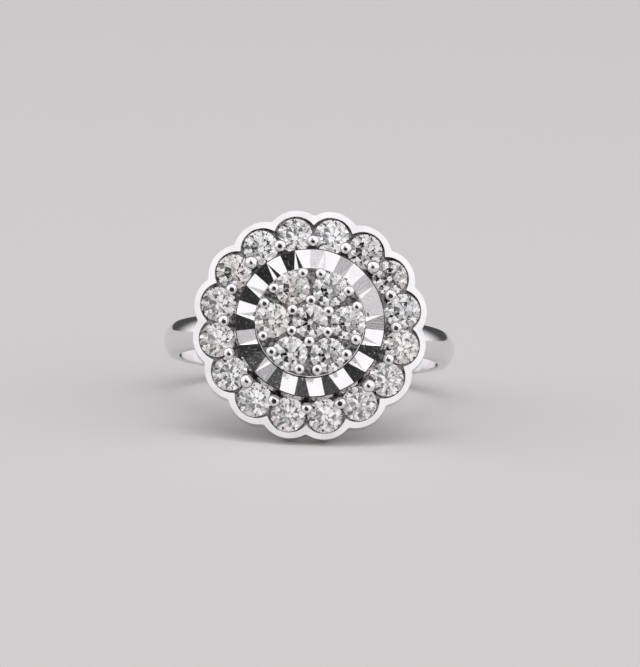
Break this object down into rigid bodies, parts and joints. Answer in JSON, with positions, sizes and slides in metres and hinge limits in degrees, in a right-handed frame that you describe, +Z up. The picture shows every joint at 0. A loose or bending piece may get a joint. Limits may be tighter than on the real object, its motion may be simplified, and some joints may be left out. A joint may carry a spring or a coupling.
{
  "type": "daisy cluster ring",
  "caption": "White gold cluster ring with a scalloped daisy head, a raised ring of mirror-cut rays and round brilliant stones on a slim half-round band.",
  "frame": {"origin": "on the surface that the ring lies on, under the middle of the ring's box", "axes": "+Z up from that surface, the head faces -Y and a little upwards, +X across the head; the finger hole's axis lies in the YZ plane, 18.2 degrees off +Z towards +Y"},
  "size_m": [0.0195, 0.0236, 0.0145],
  "materials": {
    "white_gold": "polished rhodium-plated 18 carat white gold",
    "mirror_cut": "bright-cut mirror facets in white gold",
    "diamond": "polished colourless round brilliant"
  },
  "bodies": {
    "root": {"mount": "white_gold", "mirror_ring": "mirror_cut", "centre_setting": "white_gold", "halo_stone_1": "diamond", "halo_stone_2": "diamond", "halo_stone_3": "diamond", "halo_stone_4": "diamond", "halo_stone_5": "diamond", "halo_stone_6": "diamond", "halo_stone_7": "diamond", "halo_stone_8": "diamond", "halo_stone_9": "diamond", "halo_stone_10": "diamond", "halo_stone_11": "diamond", "halo_stone_12": "diamond", "halo_stone_13": "diamond", "halo_stone_14": "diamond", "halo_stone_15": "diamond", "halo_stone_16": "diamond", "cluster_stone_1": "diamond", "cluster_stone_2": "diamond", "cluster_stone_3": "diamond", "cluster_stone_4": "diamond", "cluster_stone_5": "diamond", "cluster_stone_6": "diamond", "centre_stone": "diamond"}
  },
  "joints": []
}
